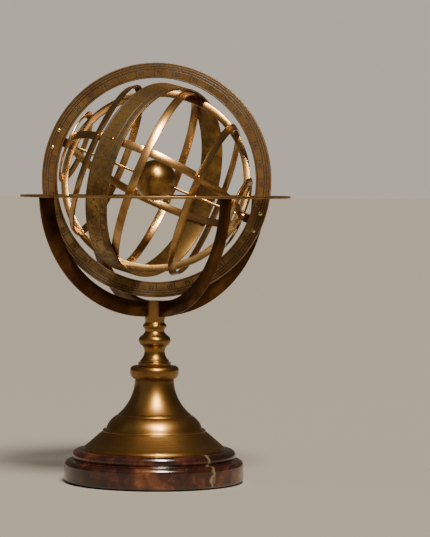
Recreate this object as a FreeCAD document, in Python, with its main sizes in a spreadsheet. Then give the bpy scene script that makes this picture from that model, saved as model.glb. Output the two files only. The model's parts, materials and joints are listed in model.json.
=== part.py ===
import FreeCAD, Part
import math
import os
import re
import Sketcher
from FreeCAD import Placement, Rotation, Vector

# Armillary sphere, a brass tabletop model on a turned stone base.
# +Z is up. The origin is at the middle of the underside, on the axis of the stand. The meridian
# ring stands in the XZ plane and the north pole of the cage leans towards -X.

SIZES = {
    # stone base and its fixings
    "felt_radius": 86, "felt_thick": 1.5,
    "stone_radius": 91, "stone_step_radius": 82.7,
    "stone_step_height": 22.5, "stone_height": 33, "stone_round": 5,
    "well_radius": 14, "well_height": 13, "rod_hole": 3.2,
    "tie_radius": 3, "tie_bottom": 3, "washer_radius": 11, "washer_thick": 1.5,
    "nut_across": 10, "nut_thick": 5,
    # bell-shaped foot
    "rim_radius": 72.2, "rim_height": 2.4, "bell_bead": 51.9, "bell_bead_height": 52.3,
    "dome_base": 48.7, "dome_top": 36.9, "dome_height": 67.5,
    "trumpet_base": 36.2, "trumpet_radius": 19.7, "bell_height": 105, "bell_wall": 3,
    # collar and baluster stem
    "collar_radius": 24.7, "collar_foot": 21.8, "collar_height": 117.6,
    "disc_radius": 16.6, "disc_height": 121, "flare_radius": 15, "flare_height": 123.2,
    "waist_radius": 10.3, "waist_height": 132.3, "bulb_radius": 16.1, "bulb_height": 143.4,
    "throat_radius": 9.7, "throat_height": 152.5, "bead_radius": 12, "bead_height": 158.3,
    "stem_height": 161.6, "stem_top": 9.8,
    # cradle
    "boss_radius": 10.4, "plate_thick": 3, "plate_radius": 125, "plate_width": 15.8,
    "plate_aside": 10, "plate_drop": 12.8, "plate_turn": 45,
    # horizon ring
    "sphere_height": 305.5, "horizon_outer": 136.5, "horizon_inner": 106, "horizon_thick": 2.4,
    "horizon_drop": 16.5, "notch_reach": 118.1, "notch_fit": 0.3,
    "screw_circle": 128, "screw_radius": 1, "screw_head": 2.2, "screw_length": 9,
    # meridian ring and the brackets that carry the poles
    "meridian_outer": 118.6, "meridian_inner": 103, "meridian_thick": 3,
    "bracket_width": 26, "bracket_thick": 2, "bracket_reach": 116, "lug_width": 9,
    "lug_start": 98.7, "lug_end": 102.8, "lug_front": 3, "pivot_fit": 0.05,
    "rivet_reach": 112.2, "rivet_spread": 9.2, "rivet_radius": 1.3, "rivet_head": 2.3,
    "rivet_head_thick": 1.2,
    # cage of rings
    "pole_lift": 21.67, "cage_turn": 18.35, "obliquity": 22.9,
    "inner_radius": 93.9, "strip_thick": 2.1, "strip_width": 8,
    "flat_inner": 89, "flat_thick": 3,
    "small_ring_width": 7.5, "tropic_latitude": 34.65, "polar_latitude": 68.7,
    "zodiac_width": 26, "outer_seat": 96.1, "outer_thick": 1.8, "lap_fit": 0.1,
    "pole_rod_radius": 1.5, "pole_rod_shoulder": 88.9, "pivot_radius": 1, "pivot_end": 102.6,
    "pole_collar_radius": 4, "pole_collar_end": 98.4, "earth_radius": 20.7,
    "pin_radius": 0.75, "pin_root": 92, "pin_head": 1.7, "pin_head_thick": 0.7,
}

doc = FreeCAD.newDocument("ArmillarySphere")
sheet = doc.addObject("Spreadsheet::Sheet", "Dimensions")
for row, (alias, number) in enumerate(SIZES.items(), start=1):
    sheet.set(f"A{row}", alias)
    sheet.set(f"B{row}", str(number))
    sheet.setAlias(f"B{row}", alias)
doc.recompute()

nodes = []


def size(formula):
    """The value of a formula written with the sheet's words, worked out in a spare cell."""
    sheet.set("D1", "=" + formula)
    sheet.recompute()
    return float(sheet.get("D1"))


def bind(item, **formulas):
    """Bind properties to formulas written with the sheet's words."""
    for name, formula in formulas.items():
        item.setExpression(name, in_sheet(formula))
    return item


def in_sheet(formula):
    """The formula as other objects write it, with the sheet's name before each of its words."""
    return re.sub(r"[a-z_]+", lambda word: f"Dimensions.{word[0]}" if word[0] in SIZES else word[0],
                  formula)


def node(item, label, place=None):
    """Name a finished piece; its label is the name of its file."""
    item.Label = label
    if place is not None:
        item.Placement = place
    nodes.append(item)
    return item


# ---- sketches ------------------------------------------------------------------------------

def new_sketch(body, plane_role):
    sketch = body.newObject("Sketcher::SketchObject", "Outline")
    plane = next(item for item in body.Origin.OriginFeatures if item.Role == plane_role)
    sketch.AttachmentSupport = (plane, [""])
    sketch.MapMode = "FlatFace"
    return sketch


def arc_between(start, end, radius):
    """An arc from start to end. A positive radius bulges out of a counter-clockwise outline."""
    chord = end - start
    left = Vector(-chord.y, chord.x, 0).normalize()
    if abs(radius) < chord.Length / 2:
        raise ValueError(f"radius {radius} is too small for the arc that starts at {start}")
    reach = math.sqrt(radius ** 2 - (chord.Length / 2) ** 2)
    centre = start + chord * 0.5 + left * (reach if radius > 0 else -reach)
    first, last = (start, end) if radius > 0 else (end, start)
    angles = [math.atan2(point.y - centre.y, point.x - centre.x) for point in (first, last)]
    return Part.ArcOfCircle(Part.Circle(centre, Vector(0, 0, 1), abs(radius)), *angles)


def draw_outline(sketch, corners):
    """Closed outline. Each corner is (across, up) or (across, up, radius of the arc that follows)."""
    places = [Vector(size(corner[0]), size(corner[1]), 0) for corner in corners]
    ends = []
    for index, corner in enumerate(corners):
        start, end = places[index], places[(index + 1) % len(corners)]
        if len(corner) == 2:
            sketch.addGeometry(Part.LineSegment(start, end))
            ends.append((1, 2))
            continue
        radius = size(corner[2])
        edge = sketch.addGeometry(arc_between(start, end, radius))
        sketch.addConstraint(Sketcher.Constraint("Radius", edge, abs(radius)))
        bind(sketch, **{f"Constraints[{sketch.ConstraintCount - 1}]": f"abs({corner[2]})"})
        ends.append((1, 2) if radius > 0 else (2, 1))
    for index, corner in enumerate(corners):
        following = (index + 1) % len(corners)
        sketch.addConstraint(Sketcher.Constraint(
            "Coincident", index, ends[index][1], following, ends[following][0]))
        for kind, formula in zip(("DistanceX", "DistanceY"), corner):
            start_point = (index, ends[index][0])
            if abs(size(formula)) < 1e-9:
                axis = -2 if kind == "DistanceX" else -1
                sketch.addConstraint(Sketcher.Constraint("PointOnObject", *start_point, axis))
                continue
            sketch.addConstraint(Sketcher.Constraint(kind, -1, 1, *start_point, size(formula)))
            bind(sketch, **{f"Constraints[{sketch.ConstraintCount - 1}]": formula})


def turned(corners):
    """A lathe-turned body: an outline in the XZ plane, revolved about Z."""
    body = doc.addObject("PartDesign::Body", "Body")
    sketch = new_sketch(body, "XZ_Plane")
    draw_outline(sketch, corners)
    revolution = body.newObject("PartDesign::Revolution", "Revolution")
    revolution.Profile = sketch
    revolution.ReferenceAxis = (sketch, ["V_Axis"])
    revolution.Angle = 360
    sketch.Visibility = False
    return body


def flat_ring(outer, inner, thickness, plane_role="XY_Plane"):
    """A flat ring: two circles, padded to both sides of their plane."""
    body = doc.addObject("PartDesign::Body", "Body")
    sketch = new_sketch(body, plane_role)
    for formula in (outer, inner):
        edge = sketch.addGeometry(Part.Circle(Vector(0, 0, 0), Vector(0, 0, 1), size(formula)))
        sketch.addConstraint(Sketcher.Constraint("Coincident", edge, 3, -1, 1))
        sketch.addConstraint(Sketcher.Constraint("Radius", edge, size(formula)))
        bind(sketch, **{f"Constraints[{sketch.ConstraintCount - 1}]": formula})
    return padded(body, sketch, thickness)


def padded(body, sketch, thickness):
    pad = body.newObject("PartDesign::Pad", "Pad")
    pad.Profile = sketch
    pad.Midplane = True
    bind(pad, Length=thickness)
    sketch.Visibility = False
    return body


def rod(radius, bottom, top, place=Placement()):
    """A cylinder on the local Z axis between two heights."""
    cylinder = doc.addObject("Part::Cylinder", "Rod")
    bind(cylinder, Radius=radius, Height=f"{top} - ({bottom})")
    cylinder.Placement = place * Placement(Vector(0, 0, size(bottom)), Rotation())
    return cylinder


def block(low, high, place=Placement()):
    """A box between two corners, each a triple of formulas."""
    box = doc.addObject("Part::Box", "Block")
    for side, start, end in zip(("Length", "Width", "Height"), low, high):
        bind(box, **{side: f"{end} - ({start})"})
    box.Placement = place * Placement(Vector(*(size(edge) for edge in low)), Rotation())
    return box


def rivet(radius, head_radius, bottom, seat, head_thick, place):
    """A shank on the local Z axis with a round head that rests on its seat."""
    return joined([rod(radius, bottom, seat, place),
                   rod(head_radius, seat, f"{seat} + {head_thick}", place)])


def joined(items, kind="Part::MultiFuse"):
    group = doc.addObject(kind, "Joined")
    if kind == "Part::Compound":
        group.Links = items
    else:
        group.Shapes = items
    return group


def cut(base, tools):
    """The base less its tools."""
    result = doc.addObject("Part::Cut", "Cut")
    result.Base = base
    result.Tool = tools[0] if len(tools) == 1 else joined(tools)
    return result


# ---- places --------------------------------------------------------------------------------

def turn(axis, angle):
    return Placement(Vector(), Rotation(axis, angle))


X_AXIS, Y_AXIS, Z_AXIS = Vector(1, 0, 0), Vector(0, 1, 0), Vector(0, 0, 1)
SPHERE = Placement(Vector(0, 0, size("sphere_height")), Rotation())
# Local Z runs to the north pole and local Y stays square to the meridian ring.
NORTH_POLE = SPHERE * turn(Y_AXIS, size("pole_lift - 90"))
SOUTH_POLE = SPHERE * turn(Y_AXIS, size("pole_lift + 90"))
# Local Z runs to the north pole and local X to the equinox.
CAGE = NORTH_POLE * turn(Z_AXIS, size("cage_turn"))
HORIZON_DROP = "horizon_drop + horizon_thick / 2"
HORIZON_BOTTOM = f"sphere_height - ({HORIZON_DROP})"
# The lowest edge of the cradle plates rests on the floor of the boss's slots.
BOSS_FLOOR = "(sphere_height - plate_drop - plate_radius)"


def build_base():
    node(rod("felt_radius", "0", "felt_thick"), "felt_pad")

    stone = turned([
        ("well_radius", "felt_thick"),
        ("stone_radius - 1.5", "felt_thick"),
        ("stone_radius", "felt_thick + 1.5"),
        ("stone_radius", "stone_step_height - stone_round", "stone_round"),
        ("stone_radius - stone_round", "stone_step_height"),
        ("stone_step_radius - 1", "stone_step_height"),
        ("stone_step_radius - 1", "stone_step_height + 1", "stone_round + 0.8"),
        ("stone_step_radius - stone_round", "stone_height"),
        ("rod_hole", "stone_height"),
        ("rod_hole", "well_height"),
        ("well_radius", "well_height"),
    ])
    node(stone, "stone_base")

    node(cut(rod("washer_radius", "well_height - washer_thick", "well_height"),
             [rod("rod_hole", "0", "well_height + 1")]), "base_washer")

    nut_top = "(well_height - washer_thick)"
    hexagon = doc.addObject("Part::Prism", "Hexagon")
    hexagon.Polygon = 6
    bind(hexagon, Circumradius="nut_across / 2 / cos(30)", Height="nut_thick")
    hexagon.Placement = Placement(Vector(0, 0, size(f"{nut_top} - nut_thick")), Rotation())
    node(cut(hexagon, [rod("tie_radius", "0", "well_height")]), "base_nut")

    node(rod("tie_radius", "tie_bottom", f"{BOSS_FLOOR} - 1.5"), "tie_rod")


def build_stem():
    bell = turned([
        ("rim_radius - 7", "stone_height"),
        ("rim_radius", "stone_height"),
        ("rim_radius", "stone_height + 0.9"),
        ("rim_radius - 1.2", "stone_height + 0.9"),
        ("rim_radius - 1.2", "stone_height + rim_height"),
        ("bell_bead", "bell_bead_height - 1.2", "2.2"),
        ("dome_base", "bell_bead_height + 1", "22"),
        ("dome_top + 0.8", "dome_height"),
        ("dome_top", "dome_height"),
        ("trumpet_base", "dome_height + 1.5", "-48"),
        ("trumpet_radius", "bell_height"),
        ("tie_radius", "bell_height"),
        ("tie_radius", "bell_height - bell_wall"),
        ("trumpet_radius - bell_wall", "bell_height - bell_wall", "51"),
        ("trumpet_base - bell_wall", "dome_height - 1.5", "-19"),
        ("dome_base - bell_wall", "bell_bead_height - 2"),
    ])
    node(bell, "bell_foot")

    collar = turned([
        ("tie_radius", "bell_height"),
        ("collar_foot", "bell_height", "9"),
        ("collar_radius", "bell_height + 7", "5.2"),
        ("collar_radius - 3", "collar_height"),
        ("tie_radius", "collar_height"),
    ])
    node(collar, "collar_ring")

    stem = turned([
        ("tie_radius", "collar_height"),
        ("disc_radius", "collar_height"),
        ("disc_radius", "disc_height - 0.6"),
        ("disc_radius - 1.8", "disc_height"),
        ("flare_radius - 0.8", "disc_height + 0.6"),
        ("flare_radius", "flare_height - 0.9"),
        ("flare_radius - 0.6", "flare_height", "-13"),
        ("waist_radius", "waist_height", "-9"),
        ("bulb_radius - 2", "bulb_height - 4.2", "5.4"),
        ("bulb_radius - 1.6", "bulb_height + 4", "-12"),
        ("throat_radius", "throat_height", "-6"),
        ("bead_radius - 0.5", "bead_height - 1.6", "1.7"),
        ("bead_radius - 0.5", "bead_height + 1.2", "-7"),
        ("stem_top", "stem_height"),
        ("tie_radius", "stem_height"),
    ])
    node(stem, "baluster_stem")


def build_cradle():
    boss_top = f"{BOSS_FLOOR} + plate_width"
    boss = turned([
        ("tie_radius", "stem_height"),
        ("stem_top", "stem_height", "-12"),
        ("boss_radius", f"{BOSS_FLOOR} - 1.5"),
        ("boss_radius", boss_top),
        ("0", boss_top),
        ("0", f"{BOSS_FLOOR} - 1.5"),
        ("tie_radius", f"{BOSS_FLOOR} - 1.5"),
    ])
    slots = [
        block(("-boss_radius - 1", "-plate_thick / 2", BOSS_FLOOR),
              ("boss_radius + 1", "plate_thick / 2", "sphere_height"), turn(Z_AXIS, angle))
        for angle in (size("plate_turn"), -size("plate_turn"))
    ]
    node(cut(boss, slots), "cradle_boss")

    # The two plates halve into each other at the bottom, one from above and one from below.
    middle = f"({BOSS_FLOOR} + plate_width / 2)"
    halvings = ((f"{BOSS_FLOOR} - 5", middle), (middle, "sphere_height"))
    for letter, side, (bottom, top) in zip("ab", (1, -1), halvings):
        plate = doc.addObject("PartDesign::Body", "Body")
        sketch = new_sketch(plate, "XZ_Plane")
        draw_half_ring(sketch)
        padded(plate, sketch, "plate_thick")
        place = turn(Z_AXIS, side * size("plate_turn"))
        plate.Placement = place * SPHERE
        notch = block(("-plate_thick / 2", "-plate_thick", bottom),
                      ("plate_thick / 2", "plate_thick", top), place)
        holes = [rod("screw_radius", f"{HORIZON_BOTTOM} - screw_length", f"{HORIZON_BOTTOM} + 1",
                     place * Placement(Vector(end * size("screw_circle"), 0, 0), Rotation()))
                 for end in (1, -1)]
        node(cut(plate, [notch] + holes), f"cradle_half_ring_{letter}")


def draw_half_ring(sketch):
    """A bow below the horizon: two quarter rings, joined by a short straight bottom."""
    top = f"-({HORIZON_DROP})"
    inner_radius = "(plate_radius - plate_width)"
    outer_top, inner_top = (
        f"(plate_aside + sqrt({radius} ^ 2 - ({HORIZON_DROP} - plate_drop) ^ 2))"
        for radius in ("plate_radius", inner_radius))
    outer_low, inner_low = (f"-(plate_drop + {radius})" for radius in ("plate_radius", inner_radius))
    draw_outline(sketch, [
        (f"-{outer_top}", top, "plate_radius"),
        ("-plate_aside", outer_low),
        ("plate_aside", outer_low, "plate_radius"),
        (outer_top, top),
        (inner_top, top, f"-{inner_radius}"),
        ("plate_aside", inner_low),
        ("-plate_aside", inner_low, f"-{inner_radius}"),
        (f"-{inner_top}", top),
    ])


def screw_places():
    top = size(f"{HORIZON_BOTTOM} + horizon_thick")
    return [turn(Z_AXIS, quarter * 90 + size("plate_turn"))
            * Placement(Vector(size("screw_circle"), 0, top), Rotation()) for quarter in range(4)]


def countersink(place):
    cone = doc.addObject("Part::Cone", "Countersink")
    bind(cone, Radius1="screw_radius", Radius2="screw_head", Height="screw_head - screw_radius")
    cone.Placement = place * Placement(Vector(0, 0, size("screw_radius - screw_head")), Rotation())
    return cone


def build_horizon():
    ring = flat_ring("horizon_outer", "horizon_inner", "horizon_thick")
    ring.Placement = SPHERE * Placement(Vector(0, 0, -size("horizon_drop")), Rotation())
    notches = [
        block(("horizon_inner - 2", "-meridian_thick / 2 - notch_fit", HORIZON_BOTTOM + " - 1"),
              ("notch_reach", "meridian_thick / 2 + notch_fit", "sphere_height"), turn(Z_AXIS, angle))
        for angle in (0, 180)
    ]
    screw_holes = [rod("screw_radius", "-horizon_thick - 1", "1", place) for place in screw_places()]
    sinks = [countersink(place) for place in screw_places()]
    node(cut(ring, notches + screw_holes + sinks), "horizon_ring")

    screws = [joined([rod("screw_radius", "-screw_length", "0", place), countersink(place)])
              for place in screw_places()]
    node(joined(screws, "Part::Compound"), "horizon_screws")


def rivet_places(pole):
    """Local Z points out of the front of the meridian ring, towards -Y."""
    return [pole * Placement(Vector(side * size("rivet_spread"), 0, size("rivet_reach")), Rotation())
            * turn(X_AXIS, 90) for side in (1, -1)]


def build_meridian():
    ring = flat_ring("meridian_outer", "meridian_inner", "meridian_thick", "XZ_Plane")
    ring.Placement = SPHERE
    back = "-meridian_thick / 2 - bracket_thick"
    holes = [rod("rivet_radius", back + " - 1", "meridian_thick", place)
             for pole in (NORTH_POLE, SOUTH_POLE) for place in rivet_places(pole)]
    node(cut(ring, holes), "meridian_ring")

    for label, pole in (("north", NORTH_POLE), ("south", SOUTH_POLE)):
        plate = block(("-bracket_width / 2", "meridian_thick / 2", "meridian_inner + 0.6"),
                      ("bracket_width / 2", "meridian_thick / 2 + bracket_thick", "bracket_reach"), pole)
        neck = block(("-lug_width / 2", "meridian_thick / 2", "lug_start"),
                     ("lug_width / 2", "meridian_thick / 2 + bracket_thick", "meridian_inner + 1"), pole)
        lug = block(("-lug_width / 2", "-lug_front", "lug_start"),
                    ("lug_width / 2", "meridian_thick / 2", "lug_end"), pole)
        bore = rod("pivot_radius + pivot_fit", "lug_start - 1", "lug_end + 0.5", pole)
        holes = [rod("rivet_radius", back + " - 1", "meridian_thick", place)
                 for place in rivet_places(pole)]
        node(cut(joined([plate, neck, lug]), [bore] + holes), f"pole_bracket_{label}")

        rivets = [rivet("rivet_radius", "rivet_head", back, "meridian_thick / 2", "rivet_head_thick",
                        place) for place in rivet_places(pole)]
        node(joined(rivets, "Part::Compound"), f"bracket_rivets_{label}")


def band(radius, latitude, width, thickness):
    """A strip bent into a ring, lying flat on a ball of the given radius at its latitude."""
    def corner(out, along):
        return (f"({radius} + {out}) * cos({latitude}) - ({along}) * sin({latitude})",
                f"({radius} + {out}) * sin({latitude}) + ({along}) * cos({latitude})")
    half = f"{width} / 2"
    return turned([corner("0", "-" + half), corner(thickness, "-" + half),
                   corner(thickness, half), corner("0", half)])


def lap(place, azimuth, side):
    """The notch of a great ring where a strip crosses it: half a strip deep, or a whole one."""
    middle, outside = "inner_radius + strip_thick / 2", "inner_radius + strip_thick + 1"
    start, end = {"outer": (middle, outside), "inner": ("inner_radius - 1", middle),
                  "whole": ("inner_radius - lap_fit", outside)}[side]
    half = "(strip_width / 2 + lap_fit)"
    return block((start, "-" + half, "-strip_width / 2 - 1"), (end, half, "strip_width / 2 + 1"),
                 place * turn(Z_AXIS, azimuth))


def crossing(azimuth, latitude):
    """A point of the cage, with local Z pointing out of the ball."""
    return CAGE * turn(Z_AXIS, azimuth) * turn(Y_AXIS, 90 - latitude)


def drill(places, radius="pin_radius", bottom="pin_root"):
    return [rod(radius, bottom, "outer_seat + outer_thick + 2", place) for place in places]


def build_cage():
    tropic, polar, tilt = size("tropic_latitude"), size("polar_latitude"), size("obliquity")
    quarters = (0, 90, 180, 270)
    small_rings = {"tropic_ring_north": tropic, "tropic_ring_south": -tropic,
                   "polar_ring_north": polar, "polar_ring_south": -polar}
    zodiac_crossings = [(0, 0), (90, -tilt), (180, 0), (270, tilt)]
    crossings = [(turn_, lat) for lat in small_rings.values() for turn_ in quarters] + zodiac_crossings
    poles = [crossing(0, 90), crossing(0, -90)]

    def on(azimuths):
        return drill([crossing(*spot) for spot in crossings if spot[0] in azimuths])

    # The equinox colure is a flat ring. The other two are bent strips that lie in its notches
    # and halve into each other.
    frames = {"solstice_colure": CAGE * turn(Y_AXIS, 90), "equinox_colure": CAGE * turn(X_AXIS, 90),
              "equator_ring": CAGE}
    laps = {"solstice_colure": {90: "outer", 270: "outer"},
            "equinox_colure": {azimuth: "whole" for azimuth in quarters},
            "equator_ring": {90: "inner", 270: "inner"}}
    holes = {"solstice_colure": on((90, 270)) + drill(poles, "pivot_radius"),
             "equinox_colure": on((0, 180)) + drill(poles, "pivot_radius", "flat_inner - 1"),
             "equator_ring": drill([crossing(0, 0), crossing(180, 0)])}
    for name, frame in frames.items():
        if name == "equinox_colure":
            ring = flat_ring("inner_radius + strip_thick", "flat_inner", "flat_thick")
        else:
            ring = band("inner_radius", "0", "strip_width", "strip_thick")
        ring.Placement = frame
        notches = [lap(frame, azimuth, side) for azimuth, side in laps[name].items()]
        node(cut(ring, notches + holes[name]), name)

    for name, latitude in small_rings.items():
        ring = band("outer_seat", f"{latitude:.6g}", "small_ring_width", "outer_thick")
        ring.Placement = CAGE
        node(cut(ring, drill([crossing(azimuth, latitude) for azimuth in quarters])), name)

    zodiac = band("outer_seat", "0", "zodiac_width", "outer_thick")
    zodiac.Placement = CAGE * turn(X_AXIS, -tilt)
    node(cut(zodiac, drill([crossing(*spot) for spot in zodiac_crossings])), "zodiac_band")

    node(joined([rod("pole_rod_radius", "-pole_rod_shoulder", "pole_rod_shoulder", NORTH_POLE),
                 rod("pivot_radius", "-pivot_end", "pivot_end", NORTH_POLE)]), "polar_rod")
    ball = doc.addObject("Part::Sphere", "Ball")
    bind(ball, Radius="earth_radius")
    ball.Placement = CAGE
    node(cut(ball, [rod("pole_rod_radius", "-earth_radius - 2", "earth_radius + 2", CAGE)]), "earth_ball")
    for label, place in zip(("north", "south"), poles):
        collar = rod("pole_collar_radius", "inner_radius + strip_thick", "pole_collar_end", place)
        node(cut(collar, drill([place], "pivot_radius")), f"pole_collar_{label}")

    # A pin ends in the thick edge of the flat ring, or level with the inside of a strip.
    pins = [rivet("pin_radius", "pin_head", "inner_radius" if spot[0] in (90, 270) else "pin_root",
                  "outer_seat + outer_thick", "pin_head_thick", crossing(*spot)) for spot in crossings]
    node(joined(pins, "Part::Compound"), "crossing_rivets")


def check():
    """Stop if any object failed or any finished piece is empty or invalid."""
    for item in doc.Objects:
        if {"Invalid", "Error"} & set(item.State):
            raise RuntimeError(f"{item.Label} failed: {item.getStatusString()}")
    for item in nodes:
        if item.Shape.isNull() or not item.Shape.isValid() or not item.Shape.Solids:
            raise RuntimeError(f"{item.Label} has no valid solid")


for build in (build_base, build_stem, build_cradle, build_horizon, build_meridian, build_cage):
    build()
doc.recompute()
check()

os.makedirs("parts", exist_ok=True)
for item in nodes:
    item.Shape.exportStep(f"parts/{item.Label}.step")
    print(f"{item.Label}: {len(item.Shape.Solids)} solids, {item.Shape.Volume / 1000:.1f} cm3")
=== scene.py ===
import json
import math
import random
import bmesh
import bpy
from mathutils import Matrix, Vector


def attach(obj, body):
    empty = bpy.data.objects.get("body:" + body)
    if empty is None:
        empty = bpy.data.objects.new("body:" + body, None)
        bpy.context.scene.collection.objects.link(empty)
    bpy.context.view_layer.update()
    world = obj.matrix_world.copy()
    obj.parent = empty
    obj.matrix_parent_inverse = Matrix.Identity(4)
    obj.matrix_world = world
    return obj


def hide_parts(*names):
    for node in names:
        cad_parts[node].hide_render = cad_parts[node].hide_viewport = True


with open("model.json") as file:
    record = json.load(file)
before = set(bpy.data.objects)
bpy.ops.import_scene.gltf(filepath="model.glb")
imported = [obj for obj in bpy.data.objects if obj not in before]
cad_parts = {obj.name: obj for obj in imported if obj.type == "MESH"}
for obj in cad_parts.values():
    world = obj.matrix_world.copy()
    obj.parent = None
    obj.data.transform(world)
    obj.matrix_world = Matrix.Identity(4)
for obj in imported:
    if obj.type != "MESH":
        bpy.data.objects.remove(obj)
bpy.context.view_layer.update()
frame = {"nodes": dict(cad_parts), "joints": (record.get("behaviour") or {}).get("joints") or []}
print("stage: frame loaded")

mm = 0.001
toMetres = Matrix.Scale(mm, 4)
joints = {joint["name"]: joint for joint in frame["joints"]}
sphereCentre = Vector(joints["cage_spin"]["pos_m"])
poleAxis = Vector(joints["cage_spin"]["axis"]).normalized()
random.seed(7)


def turnAbout(axis, degrees):
    return Matrix.Rotation(math.radians(degrees), 4, axis)


def shift(x, y, z):
    return Matrix.Translation((x, y, z))


poleLean = math.degrees(math.atan2(poleAxis.x, poleAxis.z))
cageTurn = 18.35  # how far the cage is turned on the polar rod at rest
edgeRound = 0.25  # of a deburred edge
smoothUnder = 32  # degrees: sharper edges stay crisp
cutPast = 3  # how far a cutter reaches past the metal's edge
cutDeep = 5  # and past its faces, where it goes right through
standPlace = toMetres
spherePlace = Matrix.Translation(sphereCentre) @ toMetres
northPlace = spherePlace @ turnAbout("Y", poleLean)  # local Z runs to the north pole
southPlace = spherePlace @ turnAbout("Y", poleLean + 180)
cagePlace = northPlace @ turnAbout("Z", cageTurn)  # local X runs to the equinox


# A corner is (across, up) or (across, up, radius of the arc to the next corner, minus for hollow).
def outlinePoints(corners, arcStep=7):
    points = []
    for index, corner in enumerate(corners):
        start = Vector(corner[:2])
        end = Vector(corners[(index + 1) % len(corners)][:2])
        points.append(start)
        if len(corner) < 3:
            continue
        radius = corner[2]
        chord = end - start
        left = Vector((-chord.y, chord.x)).normalized()
        reach = math.sqrt(max(radius ** 2 - (chord.length / 2) ** 2, 0))
        centre = start + chord / 2 + left * (reach if radius > 0 else -reach)
        first = math.atan2(start.y - centre.y, start.x - centre.x)
        last = math.atan2(end.y - centre.y, end.x - centre.x)
        sweep = (last - first) % math.tau if radius > 0 else -((first - last) % math.tau)
        count = max(2, math.ceil(abs(math.degrees(sweep)) / arcStep))
        for step in range(1, count):
            angle = first + sweep * step / count
            points.append(centre + Vector((math.cos(angle), math.sin(angle))) * abs(radius))
    return points


# A closed outline in the XZ plane, spun once round Z.
def spinOutline(corners, steps=128, arcStep=7):
    bm = bmesh.new()
    verts = [bm.verts.new((point.x, 0, point.y)) for point in outlinePoints(corners, arcStep)]
    edges = [bm.edges.new((vert, verts[(index + 1) % len(verts)])) for index, vert in enumerate(verts)]
    bmesh.ops.spin(bm, geom=verts + edges, cent=(0, 0, 0), axis=(0, 0, 1), angle=math.tau,
                   steps=steps, use_merge=True, use_duplicate=False)
    bmesh.ops.remove_doubles(bm, verts=bm.verts, dist=0.0001)
    bmesh.ops.dissolve_degenerate(bm, edges=bm.edges, dist=0.0001)
    bmesh.ops.recalc_face_normals(bm, faces=bm.faces)
    return bm


# A closed outline in the XZ plane, made as thick as asked along Y.
def padOutline(corners, thick, arcStep=3):
    bm = bmesh.new()
    verts = [bm.verts.new((point.x, -thick / 2, point.y)) for point in outlinePoints(corners, arcStep)]
    face = bm.faces.new(verts)
    pushed = bmesh.ops.extrude_face_region(bm, geom=[face])
    moved = [item for item in pushed["geom"] if isinstance(item, bmesh.types.BMVert)]
    bmesh.ops.translate(bm, verts=moved, vec=(0, thick, 0))
    bmesh.ops.recalc_face_normals(bm, faces=bm.faces)
    return bm


# A small round on every edge sharper than the minimum angle.
def softenEdges(bm, width, minimumAngle=50, segments=2):
    sharp = [edge for edge in bm.edges
             if len(edge.link_faces) == 2 and edge.calc_face_angle() > math.radians(minimumAngle)]
    bmesh.ops.bevel(bm, geom=sharp, offset=width, offset_type="OFFSET", segments=segments, profile=0.5,
                    affect="EDGES", clamp_overlap=True, material=-1)
    return bm


def addBox(bm, low, high, place=Matrix()):
    low, high = Vector(low), Vector(high)
    matrix = place @ Matrix.Translation((low + high) / 2) @ Matrix.Diagonal((*(high - low), 1))
    bmesh.ops.create_cube(bm, size=1, matrix=matrix)


def addRod(bm, radius, bottom, top, place=Matrix(), segments=32):
    matrix = place @ shift(0, 0, (bottom + top) / 2)
    bmesh.ops.create_cone(bm, cap_ends=True, segments=segments, radius1=radius, radius2=radius,
                          depth=top - bottom, matrix=matrix)


def addCopy(bm, other, place=Matrix()):
    bmesh.ops.transform(other, matrix=place, verts=other.verts)
    mesh = bpy.data.meshes.new("copy")
    other.to_mesh(mesh)
    other.free()
    bm.from_mesh(mesh)
    bpy.data.meshes.remove(mesh)


# A riveted pin: a shank, and a domed head that stands on its seat with a short upright edge.
def addPin(bm, shank, head, dome, bottom, seat, place, edge=0.15):
    ball = (head ** 2 + dome ** 2) / (2 * dome)
    rivet = spinOutline([(0, bottom), (shank, bottom), (shank, seat), (head, seat),
                         (head, seat + edge, ball), (0, seat + dome)], steps=28, arcStep=10)
    addCopy(bm, rivet, place)


# Cut one mesh with another by a boolean, or join them with UNION. Both are used up.
def carve(bm, tools, operation="DIFFERENCE"):
    pair = []
    for name, item in (("base", bm), ("tools", tools)):
        mesh = bpy.data.meshes.new(name)
        item.to_mesh(mesh)
        item.free()
        part = bpy.data.objects.new(name, mesh)
        bpy.context.scene.collection.objects.link(part)
        pair.append(part)
    modifier = pair[0].modifiers.new("carve", "BOOLEAN")
    modifier.object = pair[1]
    modifier.operation = operation
    modifier.solver = "EXACT"
    modifier.use_self = operation == "DIFFERENCE"
    bpy.context.view_layer.update()
    carved = bpy.data.meshes.new_from_object(pair[0].evaluated_get(bpy.context.evaluated_depsgraph_get()))
    result = bmesh.new()
    result.from_mesh(carved)
    bpy.data.meshes.remove(carved)
    for part in pair:
        mesh = part.data
        bpy.data.objects.remove(part)
        bpy.data.meshes.remove(mesh)
    return result


# A curve or a text as a mesh.
def meshFromCurve(curve):
    part = bpy.data.objects.new("curve", curve)
    bpy.context.scene.collection.objects.link(part)
    bpy.context.view_layer.update()
    mesh = bpy.data.meshes.new_from_object(part.evaluated_get(bpy.context.evaluated_depsgraph_get()))
    bm = bmesh.new()
    bm.from_mesh(mesh)
    bpy.data.objects.remove(part)
    bpy.data.curves.remove(curve)
    bpy.data.meshes.remove(mesh)
    return bm


# A stamped numeral lying on the XY plane. Digits of the built-in font stand 0.72 of its size.
def numeral(text, height, deep=0.04, bold=0.06):
    curve = bpy.data.curves.new("numeral", "FONT")
    curve.body = text
    curve.size = height / 0.72
    curve.align_x = curve.align_y = "CENTER"
    curve.resolution_u = 3
    curve.extrude = deep
    curve.offset = bold
    return meshFromCurve(curve)


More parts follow.
